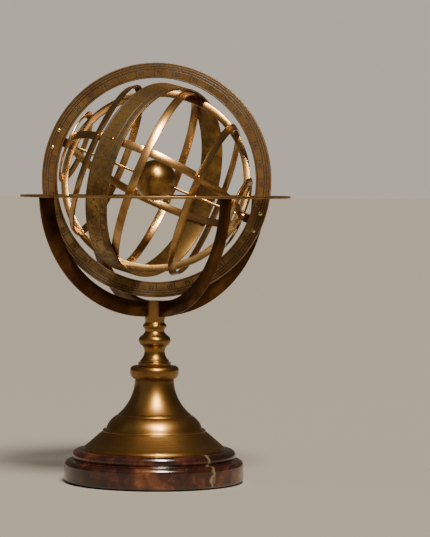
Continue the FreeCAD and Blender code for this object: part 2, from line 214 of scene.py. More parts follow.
# Engraved strokes of one width, each a list of points.
def strokes(paths, width):
    curve = bpy.data.curves.new("strokes", "CURVE")
    curve.dimensions = "3D"
    curve.bevel_depth = width / 2
    curve.bevel_resolution = 0
    curve.use_fill_caps = True
    for path in paths:
        spline = curve.splines.new("POLY")
        spline.points.add(len(path) - 1)
        for point, place in zip(spline.points, path):
            point.co = (*place, 0, 1)
    return meshFromCurve(curve)


# Turn a mesh in millimetres into a finished piece that rides on its body.
def makePiece(name, bm, place, materials, body, replaced=()):
    bmesh.ops.transform(bm, matrix=place, verts=bm.verts)
    for face in bm.faces:
        face.smooth = True
    for edge in bm.edges:
        if len(edge.link_faces) == 2:
            edge.smooth = edge.calc_face_angle() < math.radians(smoothUnder)
    mesh = bpy.data.meshes.new(name)
    bm.to_mesh(mesh)
    bm.free()
    for material in materials:
        mesh.materials.append(material)
    piece = bpy.data.objects.new(name, mesh)
    bpy.context.scene.collection.objects.link(piece)
    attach(piece, body)
    if replaced:
        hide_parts(*replaced)


# UV in millimetres: along the ring, and across it. A share of the radius keeps edges from smearing.
def wrapUv(bm, radius):
    layer = bm.loops.layers.uv.new("strip")
    for face in bm.faces:
        middle = face.calc_center_median()
        base = math.atan2(middle.y, middle.x)
        for loop in face.loops:
            point = loop.vert.co
            angle = math.atan2(point.y, point.x)
            angle += math.tau * round((base - angle) / math.tau)
            loop[layer].uv = (angle * radius, point.z + 0.3 * math.hypot(point.x, point.y))


# An sRGB hex colour as linear values.
def linear(hexColour):
    channels = [int(hexColour[place:place + 2], 16) / 255 for place in (1, 3, 5)]
    return tuple(c / 12.92 if c <= 0.04045 else ((c + 0.055) / 1.055) ** 2.4 for c in channels) + (1,)


# Add a shader node with its settings. inputs maps a socket to a value or to (node, output), and stops
# are the (place, hex colour) of a colour ramp, lowest first.
def addNode(material, kind, inputs=None, stops=(), **settings):
    tree = material.node_tree
    node = tree.nodes.new("ShaderNode" + kind)
    for name, value in settings.items():
        setattr(node, name, value)
    for socket, value in (inputs or {}).items():
        if isinstance(value, tuple) and isinstance(value[0], bpy.types.Node):
            tree.links.new(value[0].outputs[value[1]], node.inputs[socket])
        else:
            node.inputs[socket].default_value = value
    for index, (place, colour) in enumerate(stops):
        elements = node.color_ramp.elements
        element = elements[index] if index < len(elements) else elements.new(place)
        element.position = place
        element.color = linear(colour)
    return node


# A material with its shader. constants are set on the shader's own sockets.
def newMaterial(name, **constants):
    material = bpy.data.materials.new(name)
    material.use_nodes = True
    material.node_tree.nodes.clear()
    shader = addNode(material, "BsdfPrincipled")
    addNode(material, "OutputMaterial", {"Surface": (shader, "BSDF")})
    for socket, value in constants.items():
        shader.inputs[socket].default_value = value
    return material, shader


# Lead a node's output into a node that is there already.
def link(material, node, output, target, socket):
    material.node_tree.links.new(node.outputs[output], target.inputs[socket])


# Antiqued brass: polished metal with a brown patina left in clouds and specks, duller where it is
# dark. Sizes are in mm. lines is (kind, spacing): turned lines run round Z, brushed lines along the strip.
def antiqueBrass(name, stops, patch=16, speck=1.2, speckShare=0.3, roughness=(0.22, 0.42), lines=None,
                 bump=0.04):
    material, shader = newMaterial(name, Metallic=1)
    where = addNode(material, "TexCoord")
    clouds = addNode(material, "TexNoise",
                     {"Vector": (where, "Object"), "Scale": 1 / (patch * mm), "Detail": 5,
                      "Roughness": 0.62})
    specks = addNode(material, "TexNoise",
                     {"Vector": (where, "Object"), "Scale": 1 / (speck * mm), "Detail": 3, "Roughness": 0.6})
    blend = addNode(material, "Mix", {0: speckShare, 2: (clouds, 0), 3: (specks, 0)},
                    data_type="FLOAT")
    colour = addNode(material, "ValToRGB", {0: (blend, 0)}, stops)
    link(material, colour, 0, shader, "Base Color")
    rough = addNode(material, "MapRange",
                    {"Value": (blend, 0), "From Min": 0.38, "From Max": 0.62,
                     "To Min": roughness[1], "To Max": roughness[0]})
    height, strength = (specks, 0), 0.25
    if lines:
        kind, spacing = lines
        if kind == "turned":
            parts = addNode(material, "SeparateXYZ", {0: (where, "Object")})
            flat = addNode(material, "CombineXYZ", {0: (parts, 0), 1: (parts, 1)})
            radius = addNode(material, "VectorMath", {0: (flat, 0)}, operation="LENGTH")
            path = addNode(material, "CombineXYZ", {0: (radius, "Value"), 1: (parts, 2)})
            scale = 1 / (spacing * mm)
        else:
            strip = addNode(material, "UVMap", uv_map="strip")
            path = addNode(material, "Mapping", {0: (strip, 0), "Scale": (0.02, 1, 1)})
            scale = 1 / spacing  # the strip's own map is in mm
        grain = addNode(material, "TexNoise",
                        {"Vector": (path, 0), "Scale": scale, "Detail": 3, "Roughness": 0.7})
        worn = addNode(material, "Math", {0: (grain, 0), 1: 0.5}, operation="SUBTRACT")
        rough = addNode(material, "Math", {0: (worn, 0), 1: 0.25, 2: (rough, 0)},
                        operation="MULTIPLY_ADD")
        height = (addNode(material, "Math", {0: (specks, 0), 1: 0.4, 2: (grain, 0)},
                          operation="MULTIPLY_ADD"), 0)
        strength = 0.35
    link(material, rough, 0, shader, "Roughness")
    surface = addNode(material, "Bump",
                      {"Height": height, "Strength": strength, "Distance": bump * mm})
    link(material, surface, 0, shader, "Normal")
    return material


# turned and lacquered brass of the stand: fine lathe lines, an even brown gold, slow clouds of patina
turnedBrass = antiqueBrass("turnedAntiqueBrass", [(0.3, "#5E4224"), (0.5, "#8C6838"), (0.7, "#A8824C")],
                           patch=45, speckShare=0.12, roughness=(0.29, 0.36), lines=("turned", 0.5),
                           bump=0.015)
# brass plate of the cradle and brackets: deep brown, darker than the other brass, with a soft shine
plateBrass = antiqueBrass("deepBrownPlateBrass", [(0.32, "#2C1A0C"), (0.5, "#4C2F16"), (0.7, "#6E4B26")],
                          patch=30, speckShare=0.2, roughness=(0.28, 0.42))
# engraved brass plate of the flat rings: brown, with paler worn places
scaleBrass = antiqueBrass("engravedOliveBrass", [(0.34, "#5C4428"), (0.5, "#8E6C42"), (0.66, "#B49264")],
                          patch=24, speck=0.8, roughness=(0.32, 0.46))
# brushed brass strips of the cage, brushed along their length: warm brown to gold, long soft glints
stripBrass = antiqueBrass("brushedStripBrass", [(0.3, "#6E4A2A"), (0.5, "#AC8450"), (0.7, "#D2AE74")],
                          patch=40, speckShare=0.15, roughness=(0.22, 0.32), lines=("brushed", 0.35),
                          bump=0.025)
# engraved brass sheet of the zodiac band: brown patina lies round the cuts, gold shows between
zodiacBrass = antiqueBrass("engravedZodiacBrass", [(0.34, "#4C3A22"), (0.48, "#86683C"), (0.62, "#B08C50")],
                           patch=12, speck=0.9, speckShare=0.4, roughness=(0.3, 0.48), bump=0.08)
# spun brass of the earth ball and the collars, darkened by tarnish: soft round highlights
ballBrass = antiqueBrass("spunBallBrass", [(0.3, "#664A28"), (0.5, "#94703C"), (0.7, "#B08C50")],
                         patch=14, roughness=(0.26, 0.36))
# polished rivets and screws: small and pale, with sharp glints
paleBrass = antiqueBrass("polishedPaleBrass", [(0.3, "#A89868"), (0.7, "#D8CC9C")], patch=3,
                         roughness=(0.14, 0.22))
# hammered pins where the strips cross: redder than the strips
pinBrass = antiqueBrass("copperyPinBrass", [(0.3, "#7A4A2C"), (0.7, "#B87C50")], patch=3,
                        roughness=(0.2, 0.32))


# Patina and old polish packed in the engraving: nearly black and matt.
def packedPatina():
    material, shader = newMaterial("packedDarkPatina", Roughness=0.55)
    where = addNode(material, "TexCoord")
    clouds = addNode(material, "TexNoise",
                     {"Vector": (where, "Object"), "Scale": 1 / (3 * mm), "Detail": 3})
    colour = addNode(material, "ValToRGB", {0: (clouds, 0)}, [(0.35, "#150E07"), (0.65, "#352515")])
    link(material, colour, 0, shader, "Base Color")
    return material


darkFill = packedPatina()

# patch, warp and wrinkle are sizes in mm, and the others but veinTurn, in degrees, are in metres
marbleLook = {"patch": 30, "warp": 22, "wrinkle": 26, "bend": 0.012, "veinTurn": -29, "wander": 0.06,
              "veinStart": 0.055, "veinFull": 0.085,
              "body": [(0.36, "#1A0B07"), (0.47, "#32150D"), (0.55, "#4A2113"), (0.62, "#6C3A20"),
                       (0.72, "#8C5A34")],
              "vein": [(0, "#FFFFFF"), (0.0026, "#FFFFFF"), (0.004, "#000000")],
              "rim": [(0, "#FFFFFF"), (0.0055, "#FFFFFF"), (0.0076, "#000000")],
              "rimColour": "#1A0E08", "veinColour": "#A08A66"}


# Brown marble, turned and polished: dark clouds with orange iron stains under a wet shine, and one
# cream vein with a dark rim.
def polishedMarble():
    look = marbleLook
    material, shader = newMaterial("polishedBrownMarble", **{"Roughness": 0.2, "Coat Weight": 0.35,
                                                             "Coat Roughness": 0.06})
    where = addNode(material, "TexCoord")
    warp = addNode(material, "TexNoise",
                   {"Vector": (where, "Object"), "Scale": 1 / (look["warp"] * mm), "Detail": 6,
                    "Roughness": 0.6})
    bent = addNode(material, "Mix", {0: look["bend"], 4: (where, "Object"), 5: (warp, 1)},
                   data_type="VECTOR")
    clouds = addNode(material, "TexNoise",
                     {"Vector": (bent, 1), "Scale": 1 / (look["patch"] * mm), "Detail": 8,
                      "Roughness": 0.68})
    body = addNode(material, "ValToRGB", {0: (clouds, 0)}, look["body"])
    # the vein is a wrinkled upright plane that cuts one side of the stone and fades out inwards
    turned = addNode(material, "Mapping",
                     {0: (bent, 1), "Rotation": (0, 0, math.radians(-look["veinTurn"]))})
    parts = addNode(material, "SeparateXYZ", {0: (turned, 0)})
    wrinkle = addNode(material, "TexNoise",
                      {"Vector": (where, "Object"), "Scale": 1 / (look["wrinkle"] * mm), "Detail": 5,
                       "Roughness": 0.55})
    lifted = addNode(material, "Math",
                     {0: (wrinkle, 0), 1: look["wander"], 2: -look["wander"] / 2},
                     operation="MULTIPLY_ADD")
    away = addNode(material, "Math", {0: (parts, 1), 1: (lifted, 0)}, operation="ADD")
    distance = addNode(material, "Math", {0: (away, 0)}, operation="ABSOLUTE")
    near = addNode(material, "MapRange",
                   {"Value": (parts, 0), "From Min": look["veinStart"], "From Max": look["veinFull"],
                    "To Min": 0, "To Max": 1})
    vein = addNode(material, "ValToRGB", {0: (distance, 0)}, look["vein"])
    rim = addNode(material, "ValToRGB", {0: (distance, 0)}, look["rim"])
    rimHere = addNode(material, "Math", {0: (rim, 0), 1: (near, 0)}, operation="MULTIPLY")
    veinHere = addNode(material, "Math", {0: (vein, 0), 1: (near, 0)}, operation="MULTIPLY")
    rimmed = addNode(material, "Mix",
                     {0: (rimHere, 0), 6: (body, 0), 7: linear(look["rimColour"])}, data_type="RGBA")
    veined = addNode(material, "Mix",
                     {0: (veinHere, 0), 6: (rimmed, 2), 7: linear(look["veinColour"])}, data_type="RGBA")
    link(material, veined, 2, shader, "Base Color")
    return material


marble = polishedMarble()


# Pressed wool felt, matt and fuzzy.
def feltMaterial():
    material, shader = newMaterial("greenWoolFelt", **{"Roughness": 0.95, "Sheen Weight": 0.3})
    where = addNode(material, "TexCoord")
    fibres = addNode(material, "TexNoise",
                     {"Vector": (where, "Object"), "Scale": 1 / (0.8 * mm), "Detail": 6})
    colour = addNode(material, "ValToRGB", {0: (fibres, 0)}, [(0.3, "#0B140D"), (0.7, "#1D2E20")])
    link(material, colour, 0, shader, "Base Color")
    return material


felt = feltMaterial()


# Zinc-plated steel, dull grey with a faint spangle.
def zincSteel():
    material, shader = newMaterial("zincPlatedSteel", Metallic=1, Roughness=0.38)
    where = addNode(material, "TexCoord")
    spangle = addNode(material, "TexNoise",
                      {"Vector": (where, "Object"), "Scale": 1 / (2 * mm), "Detail": 4})
    colour = addNode(material, "ValToRGB", {0: (spangle, 0)}, [(0.3, "#8A8C8E"), (0.7, "#B4B6B6")])
    link(material, colour, 0, shader, "Base Color")
    return material


steel = zincSteel()
print("stage: materials made")

# heights are counted from the table
stone = {"radius": 91, "stepRadius": 82.7, "stepHeight": 22.5, "height": 33, "felt": 1.5, "bore": 3.2,
         "wellRadius": 14, "wellHeight": 13, "chamfer": 1.5, "round": 5, "topRound": 5.8, "fillet": 0.8}


def makeBase():
    s = stone
    block = spinOutline([
        (s["wellRadius"], s["felt"]),
        (s["radius"] - s["chamfer"], s["felt"]),
        (s["radius"], s["felt"] + s["chamfer"]),
        (s["radius"], s["stepHeight"] - s["round"], s["round"]),
        (s["radius"] - s["round"], s["stepHeight"]),
        (s["stepRadius"] - 0.6, s["stepHeight"], -s["fillet"]),
        (s["stepRadius"] - 1, s["stepHeight"] + 1, s["topRound"]),
        (s["stepRadius"] - s["round"], s["height"]),
        (s["bore"], s["height"]),
        (s["bore"], s["wellHeight"]),
        (s["wellRadius"], s["wellHeight"]),
    ], steps=160, arcStep=6)
    makePiece("stoneBlock", block, standPlace, [marble], "stand", ["stone_base"])
    plain = {"felt_pad": felt, "base_nut": steel, "base_washer": steel, "tie_rod": steel}
    for name, material in plain.items():
        frame["nodes"][name].data.materials.clear()
        frame["nodes"][name].data.materials.append(material)


tieRod = 3  # radius of the rod that all the turned parts are threaded on
bell = {"inside": 65.2, "rim": 72.2, "neck": 19.7, "top": 105, "roof": 3, "edgeRound": 0.15}
collar = {"foot": 21.8, "radius": 24.7, "middle": 112, "seat": 21.7, "top": 117.6}
stem = {"foot": 16.6, "waist": 10.3, "top": 161.6, "topRadius": 9.8}


# Spun bell: flat rim, cone, bead, dome, fillet and trumpet, then back down the inside.
def makeBell():
    b = bell
    shell = spinOutline([
        (b["inside"], stone["height"]),
        (b["rim"], stone["height"], 0.7),
        (b["rim"], 33.9, -0.6),
        (71.4, 34.3, 0.8),
        (71, 35.4),
        (53.6, 50.4, -2),
        (52.2, 51.2, 1.7),
        (50.6, 53.6, -1.2),
        (48.7, 54.3, 22),
        (38.3, 67.2, -0.9),
        (36.8, 67.7, 0.9),
        (36.2, 69, -48),
        (b["neck"], b["top"]),
        (tieRod, b["top"]),
        (tieRod, b["top"] - b["roof"]),
        (b["neck"] - b["roof"], b["top"] - b["roof"], 51),
        (33.2, 66, -19),
        (45.7, 50.3),
    ], steps=160, arcStep=4)
    softenEdges(shell, b["edgeRound"])
    makePiece("bellFoot", shell, standPlace, [turnedBrass], "stand", ["bell_foot"])


# The collar is a fat ring. The stem is a disc, a flare, a waist, a bulb, a neck and a bead.
def makeStem():
    c, s = collar, stem
    torus = spinOutline([
        (tieRod, bell["top"]),
        (c["foot"], bell["top"], 9),
        (c["radius"], c["middle"], 5.2),
        (c["seat"], c["top"]),
        (tieRod, c["top"]),
    ], arcStep=5)
    makePiece("collarTorus", torus, standPlace, [turnedBrass], "stand", ["collar_ring"])
    baluster = spinOutline([
        (tieRod, c["top"]),
        (s["foot"] - 0.5, c["top"], 0.7),
        (s["foot"], 118.2),
        (s["foot"], 120, 0.9),
        (15.2, 121, -0.8),
        (14.2, 121.6, -0.9),
        (14.8, 122.3, 0.6),
        (14.4, 123.2, -13),
        (s["waist"], 132.3, -9),
        (14.1, 139.2, 5.4),
        (14.5, 147.4, -12),
        (9.7, 152.5, -6),
        (11.3, 156.5, 1.9),
        (11.3, 159.6, -9),
        (s["topRadius"], s["top"]),
        (tieRod, s["top"]),
    ], steps=96, arcStep=6)
    makePiece("balusterStem", baluster, standPlace, [turnedBrass], "stand", ["baluster_stem"])


# Each half ring is a bow: two quarter rings of this radius, set aside and joined by a short bottom.
cradle = {"bossRadius": 10.4, "bossFlare": 12, "underSlot": 1.5, "thick": 3, "radius": 125, "width": 15.8,
          "aside": 10, "drop": 12.8, "turn": 45, "horizonUnder": 17.7, "round": 0.35}


def makeCradle():
    c = cradle
    height = sphereCentre.z / mm
    floor = height - c["drop"] - c["radius"]
    boss = spinOutline([
        (tieRod, stem["top"]),
        (stem["topRadius"], stem["top"], -c["bossFlare"]),
        (c["bossRadius"], floor - c["underSlot"]),
        (c["bossRadius"], floor + c["width"]),
        (0, floor + c["width"]),
        (0, floor - c["underSlot"]),
        (tieRod, floor - c["underSlot"]),
    ], steps=96, arcStep=6)
    slots = bmesh.new()
    for angle in (c["turn"], -c["turn"]):
        addBox(slots, (-4 * cutDeep, -c["thick"] / 2, floor), (4 * cutDeep, c["thick"] / 2, height),
               turnAbout("Z", angle))
    boss = carve(boss, slots)
    softenEdges(boss, 0.3, minimumAngle=60)
    makePiece("cradleBoss", boss, standPlace, [turnedBrass], "stand", ["cradle_boss"])

    inner = c["radius"] - c["width"]
    outerTop, innerTop = (c["aside"] + math.sqrt(radius ** 2 - (c["horizonUnder"] - c["drop"]) ** 2)
                          for radius in (c["radius"], inner))
    middle = -c["drop"] - c["radius"] + c["width"] / 2
    for letter, side in (("A", 1), ("B", -1)):
        bow = padOutline([
            (-outerTop, -c["horizonUnder"], c["radius"]),
            (-c["aside"], -c["drop"] - c["radius"]),
            (c["aside"], -c["drop"] - c["radius"], c["radius"]),
            (outerTop, -c["horizonUnder"]),
            (innerTop, -c["horizonUnder"], -inner),
            (c["aside"], -c["drop"] - inner),
            (-c["aside"], -c["drop"] - inner, -inner),
            (-innerTop, -c["horizonUnder"]),
        ], c["thick"])
        notch = bmesh.new()
        low, high = (middle - 4 * cutDeep, middle) if side > 0 else (middle, middle + 4 * cutDeep)
        addBox(notch, (-c["thick"] / 2, -cutDeep, low), (c["thick"] / 2, cutDeep, high))
        bow = carve(bow, notch)
        softenEdges(bow, c["round"])
        place = spherePlace @ turnAbout("Z", side * c["turn"])
        makePiece("cradleHalfRing" + letter, bow, place, [plateBrass], "stand",
                  ["cradle_half_ring_" + letter.lower()])


makeBase()
makeBell()
makeStem()
makeCradle()
print("stage: stand made")


# A flat ring with fine turned grooves in its faces.
def groovedRing(outer, inner, thick, grooves=(), wide=0, deep=0):
    half = thick / 2
    top = [(outer, half)]
    for radius in sorted(grooves, reverse=True):
        top += [(radius + wide, half), (radius, half - deep), (radius - wide, half)]
    top.append((inner, half))
    bottom = [(radius, -level) for radius, level in reversed(top)]
    ring = spinOutline(bottom + top, steps=200)
    return softenEdges(ring, edgeRound, minimumAngle=80)


# Give the walls of the grooves the second material: they lean, and lie under a face and between rims.
def darkenGrooves(bm, inner, outer, half, rim=0.6, under=(0.01, 0.9), lean=(0.2, 0.98)):
    for face in bm.faces:
        middle = face.calc_center_median()
        betweenRims = inner + rim < math.hypot(middle.x, middle.y) < outer - rim
        underFace = under[0] < half - abs(middle.z) < under[1]
        if betweenRims and underFace and lean[0] < abs(face.normal.z) < lean[1]:
            face.material_index = 1


engraved = {"lineHalf": 0.35, "markHalf": 0.16, "sunk": 0.1, "lineProud": 0.03, "markProud": 0.02}


# A ring's scale: a line and a number every ten degrees, counted from 0 to 90 and back, and short
# marks between the grooves. The patina of the marks stands a hair above the metal.
def engraveScale(s, half):
    e = engraved
    scale = bmesh.new()
    for angle in range(10, 360, 10):
        if angle == 180:
            continue
        line = bmesh.new()
        addBox(line, (s["lineLow"], -e["lineHalf"], half - e["sunk"]),
               (s["lineHigh"], e["lineHalf"], half + e["lineProud"]))
        addCopy(scale, line, turnAbout("Z", angle + s["lineAhead"]))
        number = numeral(str(min(angle % 180, 180 - angle % 180)), s["numberHeight"])
        addCopy(scale, number, turnAbout("Z", angle) @ shift(s["numberRadius"], 0, half)
                @ turnAbout("Z", -90))
    for angle in range(0, 360, s["markEvery"]):
        mark = bmesh.new()
        addBox(mark, (s["markLow"], -e["markHalf"], half - e["sunk"]),
               (s["markHigh"], e["markHalf"], half + e["markProud"]))
        addCopy(scale, mark, turnAbout("Z", angle))
    return scale


horizon = {"outer": 136.5, "inner": 106, "thick": 2.4, "drop": 16.5, "notch": 118.1, "notchHalf": 1.8,
           "grooves": (134.2, 131, 128.4, 119.6), "grooveWide": 0.35, "grooveDeep": 0.25,
           "lineLow": 120, "lineHigh": 128, "lineAhead": 3.2, "numberRadius": 124, "numberHeight": 4.6,
           "markLow": 128.8, "markHigh": 130.6, "markEvery": 2}


def makeHorizon():
    h = horizon
    ring = groovedRing(h["outer"], h["inner"], h["thick"], h["grooves"], h["grooveWide"], h["grooveDeep"])
    notches = bmesh.new()
    for angle in (0, 180):
        addBox(notches, (h["inner"] - cutPast, -h["notchHalf"], -cutDeep),
               (h["notch"], h["notchHalf"], cutDeep), turnAbout("Z", angle))
    ring = carve(ring, notches)
    darkenGrooves(ring, h["inner"], h["outer"], h["thick"] / 2)
    place = spherePlace @ shift(0, 0, -h["drop"])
    makePiece("horizonRing", ring, place, [scaleBrass, darkFill], "stand", ["horizon_ring"])
    makePiece("horizonScale", engraveScale(h, h["thick"] / 2), place, [darkFill], "stand")


meridian = {"outer": 118.6, "inner": 103, "thick": 3, "grooves": (116.7, 114.3, 111.7, 104.6),
            "grooveWide": 0.42, "grooveDeep": 0.3, "lineLow": 104.8, "lineHigh": 111.4, "lineAhead": 2.6,
            "numberRadius": 108.1, "numberHeight": 4.4, "markLow": 112.2, "markHigh": 113.8, "markEvery": 2}


# Local X of the ring runs to the north pole, and its front faces -Y.
def makeMeridian():
    m = meridian
    ring = groovedRing(m["outer"], m["inner"], m["thick"], m["grooves"], m["grooveWide"], m["grooveDeep"])
    darkenGrooves(ring, m["inner"], m["outer"], m["thick"] / 2)
    place = northPlace @ turnAbout("X", 90) @ turnAbout("Z", 90)
    makePiece("meridianRing", ring, place, [scaleBrass, darkFill], "meridian", ["meridian_ring"])
    makePiece("meridianScale", engraveScale(m, m["thick"] / 2), place, [darkFill], "meridian")


bracket = {"width": 26, "thick": 2, "start": 103.6, "reach": 116, "neckLap": 2, "lugWidth": 9,
           "lugStart": 98.7, "lugEnd": 102.8, "lugFront": 3, "lugLap": 0.5, "round": 0.5, "bore": 1.05,
           "rivetReach": 112.2, "rivetSpread": 9.2, "rivetRadius": 1.3, "rivetHead": 2.3, "rivetDome": 1.3}


# A plate behind the meridian ring, with a neck and a lug that holds the end of the polar rod.
def makeBrackets():
    b = bracket
    half = meridian["thick"] / 2
    back = half + b["thick"]
    for label, node, pole in (("North", "north", northPlace), ("South", "south", southPlace)):
        plate = bmesh.new()
        addBox(plate, (-b["width"] / 2, half, b["start"]), (b["width"] / 2, back, b["reach"]))
        neck = bmesh.new()
        addBox(neck, (-b["lugWidth"] / 2, half, b["lugStart"]),
               (b["lugWidth"] / 2, back, b["start"] + b["neckLap"]))
        plate = carve(plate, neck, "UNION")
        lug = bmesh.new()
        addBox(lug, (-b["lugWidth"] / 2, -b["lugFront"], b["lugStart"]),
               (b["lugWidth"] / 2, half + b["lugLap"], b["lugEnd"]))
        plate = carve(plate, lug, "UNION")
        softenEdges(plate, b["round"], minimumAngle=60, segments=3)
        holes = bmesh.new()
        addRod(holes, b["bore"], b["lugStart"] - 1, b["lugEnd"] + 1, segments=24)
        rivetPlaces = [shift(side * b["rivetSpread"], 0, b["rivetReach"]) @ turnAbout("X", 90)
                       for side in (1, -1)]
        for place in rivetPlaces:
            addRod(holes, b["rivetRadius"], -2 * cutDeep, 0, place, segments=28)
        makePiece("poleBracket" + label, carve(plate, holes), pole, [plateBrass], "meridian",
                  ["pole_bracket_" + node])
        rivets = bmesh.new()
        for place in rivetPlaces:
            addPin(rivets, b["rivetRadius"], b["rivetHead"], b["rivetDome"], -back, half, place)
        makePiece("bracketRivets" + label, rivets, pole, [paleBrass], "meridian",
                  ["bracket_rivets_" + node])


screw = {"circle": 128, "radius": 1, "head": 2.2, "length": 9, "slot": 0.5, "slotDeep": 0.5,
         "firstTurn": 25, "turnStep": 50}


# Countersunk screws hold the horizon ring on the cradle's ends. Each slot stopped at its own angle.
def makeScrews():
    s = screw
    screws = bmesh.new()
    top = horizon["thick"] / 2 - horizon["drop"]
    for quarter in range(4):
        one = spinOutline([(0, -s["length"]), (s["radius"], -s["length"]),
                           (s["radius"], s["radius"] - s["head"]), (s["head"], 0), (0, 0)], steps=28)
        slot = bmesh.new()
        addBox(slot, (-cutPast, -s["slot"] / 2, -s["slotDeep"]), (cutPast, s["slot"] / 2, 1),
               turnAbout("Z", s["firstTurn"] + s["turnStep"] * quarter))
        place = turnAbout("Z", 45 + 90 * quarter) @ shift(s["circle"], 0, top)
        addCopy(screws, carve(one, slot), place)
    makePiece("horizonScrews", screws, spherePlace, [paleBrass], "stand", ["horizon_screws"])


makeHorizon()
makeMeridian()
makeBrackets()
makeScrews()
print("stage: rings made")

# tropic, polar and tilt are degrees, and seat is the radius on which the outer strips lie
cage = {"inner": 93.9, "thick": 2.1, "width": 8, "flatInner": 89, "flatThick": 3, "seat": 96.1,
        "outerThick": 1.8, "smallWidth": 7.5, "tropic": 34.65, "polar": 68.7, "tilt": 22.9, "lapFit": 0.1,
        "grooveHalf": 0.35, "grooveDeep": 0.25}


# A strip bent into a ring that lies flat on a ball at its latitude, with grooves at these widths.
def bandRing(radius, latitude, width, thick, grooves=()):
    lean = math.radians(latitude)
    outward = Vector((math.cos(lean), math.sin(lean)))
    along = Vector((-math.sin(lean), math.cos(lean)))
    corners = [outward * radius - along * width / 2, outward * (radius + thick) - along * width / 2]
    for level in grooves:
        for out, side in ((0, -cage["grooveHalf"]), (-cage["grooveDeep"], 0), (0, cage["grooveHalf"])):
            corners.append(outward * (radius + thick + out) + along * (level + side))
    corners += [outward * (radius + thick) + along * width / 2, outward * radius + along * width / 2]
    return spinOutline([tuple(corner) for corner in corners], steps=160)


# Both colures and the equator. Where they cross, the strips lap by half and the flat ring is notched.
def makeGreatRings():
    c = cage
    middle, outside = c["inner"] + c["thick"] / 2, c["inner"] + c["thick"]
    depths = {"outer": (middle, outside + cutPast), "inner": (c["inner"] - cutPast, middle),
              "whole": (c["inner"] - c["lapFit"], outside + cutPast)}
    rings = {"solstice": ("solstice_colure", "Y", {90: "outer", 270: "outer"}),
             "equinox": ("equinox_colure", "X", {azimuth: "whole" for azimuth in (0, 90, 180, 270)}),
             "equator": ("equator_ring", None, {90: "inner", 270: "inner"})}
    for name, (node, axis, laps) in rings.items():
        if name == "equinox":
            ring = groovedRing(outside, c["flatInner"], c["flatThick"])
        else:
            ring = bandRing(c["inner"], 0, c["width"], c["thick"])
        tools = bmesh.new()
        half = c["width"] / 2 + c["lapFit"]
        for azimuth, depth in laps.items():
            low, high = depths[depth]
            addBox(tools, (low, -half, -2 * cutDeep), (high, half, 2 * cutDeep), turnAbout("Z", azimuth))
        ring = carve(ring, tools)
        softenEdges(ring, edgeRound, minimumAngle=60)
        wrapUv(ring, c["inner"])
        place = cagePlace @ turnAbout(axis, 90) if axis else cagePlace
        makePiece(name + "Ring", ring, place, [stripBrass], "cage", [node])


# The tropics and the polar circles.
def makeSmallRings():
    c = cage
    rings = {"tropicRingNorth": ("tropic_ring_north", c["tropic"]),
             "tropicRingSouth": ("tropic_ring_south", -c["tropic"]),
             "polarRingNorth": ("polar_ring_north", c["polar"]),
             "polarRingSouth": ("polar_ring_south", -c["polar"])}
    for name, (node, latitude) in rings.items():
        ring = bandRing(c["seat"], latitude, c["smallWidth"], c["outerThick"])
        softenEdges(ring, edgeRound, minimumAngle=60)
        wrapUv(ring, c["seat"] * math.cos(math.radians(latitude)))
        makePiece(name, ring, cagePlace, [stripBrass], "cage", [node])


# widths across the band are counted from its middle, and signAt, starsFrom and starsSpan are shares
# of a sign's twelfth of the band
zodiac = {"width": 26, "border": 11.2, "rowTop": -5.4, "row": -8.3, "numberHeight": 3.4, "figures": 3,
          "glyph": 4.8, "line": 0.75, "fine": 0.45, "signAt": 0.3, "starsFrom": 0.56, "starsSpan": 0.36,
          "stars": 6, "starDrift": 1.5, "starRise": 5.5, "starSize": (0.7, 1.2),
          "starTurns": (0.3, 1.35, 2.4), "scrollAside": 6.6, "scrollLevels": (-4.4, 0, 4.4),
          "scrollRadius": (1.2, 2), "scrollStart": (0, 90), "scrollEnd": (250, 330),
          "tick": 1.7, "tickGap": 0.3}


# Points along an arc, from the first to the last angle in degrees.
def arc(x, y, radius, first, last, step=20):
    count = max(2, round(abs(last - first) / step))
    angles = [math.radians(first + (last - first) * index / count) for index in range(count + 1)]
    return [(x + radius * math.cos(angle), y + radius * math.sin(angle)) for angle in angles]


